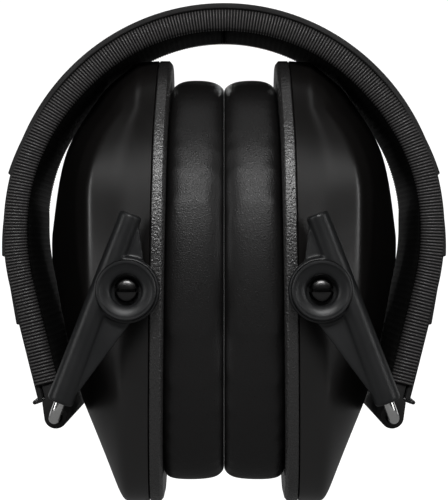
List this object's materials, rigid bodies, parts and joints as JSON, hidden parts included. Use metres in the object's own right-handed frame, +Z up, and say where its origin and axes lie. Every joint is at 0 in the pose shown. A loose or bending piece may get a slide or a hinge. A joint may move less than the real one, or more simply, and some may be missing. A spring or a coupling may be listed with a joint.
{
  "type": "folding earmuff hearing protector",
  "caption": "Folding over-ear hearing protector, folded: ear cups packed inside a wide padded headband, hung on wire yokes with sliders and pivots.",
  "frame": {"origin": "middle of the footprint of the folded muff, on the plane of the flat lower ends of the two cups", "axes": "+Z up through the crown of the headband, +X across the head from the left cup to the right cup, -Y towards the front"},
  "size_m": [0.11, 0.0936, 0.1281],
  "materials": {
    "soft_touch_plastic": "soft-touch matte black shell",
    "grained_plastic": "coarse spark-grained satin black",
    "satin_plastic": "satin black moulding",
    "leatherette": "smooth black leatherette",
    "mesh_fabric": "black air mesh",
    "ribbon": "black ribbed binding ribbon",
    "foam": "open-cell acoustic foam",
    "bright_wire": "bright drawn steel wire",
    "spring_steel": "spring steel",
    "black_steel": "black oxide steel"
  },
  "bodies": {
    "crown": {"crown_cover": "satin_plastic", "crown_pad": "mesh_fabric", "spring_band": "spring_steel", "front_edge_binding": "ribbon", "rear_edge_binding": "ribbon"},
    "left_arm": {"left_arm_cover": "satin_plastic", "left_arm_pad": "mesh_fabric", "left_hinge_block": "satin_plastic", "left_wire_clip": "black_steel"},
    "left_yoke": {"left_yoke_wire": "bright_wire"},
    "left_slider": {"front_left_slider": "satin_plastic", "rear_left_slider": "satin_plastic"},
    "left_cup": {"left_cup_shell": "soft_touch_plastic", "left_cup_rim": "grained_plastic", "left_cushion_plate": "satin_plastic", "left_ear_cushion": "leatherette", "left_foam_liner": "foam", "left_ear_screen": "mesh_fabric", "front_left_pivot_cap": "satin_plastic", "front_left_pivot_screw": "black_steel", "front_left_pivot_washer": "satin_plastic", "rear_left_pivot_cap": "satin_plastic", "rear_left_pivot_screw": "black_steel", "rear_left_pivot_washer": "satin_plastic"},
    "right_arm": {"right_arm_cover": "satin_plastic", "right_arm_pad": "mesh_fabric", "right_hinge_block": "satin_plastic", "right_wire_clip": "black_steel"},
    "right_yoke": {"right_yoke_wire": "bright_wire"},
    "right_slider": {"front_right_slider": "satin_plastic", "rear_right_slider": "satin_plastic"},
    "right_cup": {"right_cup_shell": "soft_touch_plastic", "right_cup_rim": "grained_plastic", "right_cushion_plate": "satin_plastic", "right_ear_cushion": "leatherette", "right_foam_liner": "foam", "right_ear_screen": "mesh_fabric", "front_right_pivot_cap": "satin_plastic", "front_right_pivot_screw": "black_steel", "front_right_pivot_washer": "satin_plastic", "rear_right_pivot_cap": "satin_plastic", "rear_right_pivot_screw": "black_steel", "rear_right_pivot_washer": "satin_plastic"}
  },
  "joints": [
    {"name": "left_band_flex", "type": "hinge", "parent": "crown", "child": "left_arm", "pos_m": [-0.02, 0, 0.12413], "axis": [0, 1, 0], "range_deg": [0, 45], "deforming": ["spring_band", "front_edge_binding", "rear_edge_binding"]},
    {"name": "left_fold", "type": "hinge", "parent": "left_arm", "child": "left_yoke", "pos_m": [-0.0413, 0, 0.0242], "axis": [0, 1, 0], "range_deg": [0, 87]},
    {"name": "left_cup_slide", "type": "slide", "parent": "left_yoke", "child": "left_slider", "axis": [0.3551, 0, 0.9348], "range_m": [0, 0.02]},
    {"name": "left_cup_pivot", "type": "hinge", "parent": "left_slider", "child": "left_cup", "pos_m": [-0.0235, 0, 0.0555], "axis": [0, 1, 0], "range_deg": [-128, 0]},
    {"name": "right_band_flex", "type": "hinge", "parent": "crown", "child": "right_arm", "pos_m": [0.02, 0, 0.12413], "axis": [0, -1, 0], "range_deg": [0, 45]},
    {"name": "right_fold", "type": "hinge", "parent": "right_arm", "child": "right_yoke", "pos_m": [0.0413, 0, 0.0242], "axis": [0, -1, 0], "range_deg": [0, 87]},
    {"name": "right_cup_slide", "type": "slide", "parent": "right_yoke", "child": "right_slider", "axis": [-0.3551, 0, 0.9348], "range_m": [0, 0.02]},
    {"name": "right_cup_pivot", "type": "hinge", "parent": "right_slider", "child": "right_cup", "pos_m": [0.0235, 0, 0.0555], "axis": [0, -1, 0], "range_deg": [-128, 0]}
  ],
  "couplings": [
    {"joint": "left_band_flex", "follows": "left_fold", "ratio": 0.5172},
    {"joint": "left_cup_slide", "follows": "left_fold", "m_per_rad": 0.01317},
    {"joint": "left_cup_pivot", "follows": "left_fold", "ratio": -1.4712},
    {"joint": "right_band_flex", "follows": "right_fold", "ratio": 0.5172},
    {"joint": "right_cup_slide", "follows": "right_fold", "m_per_rad": 0.01317},
    {"joint": "right_cup_pivot", "follows": "right_fold", "ratio": -1.4712}
  ]
}
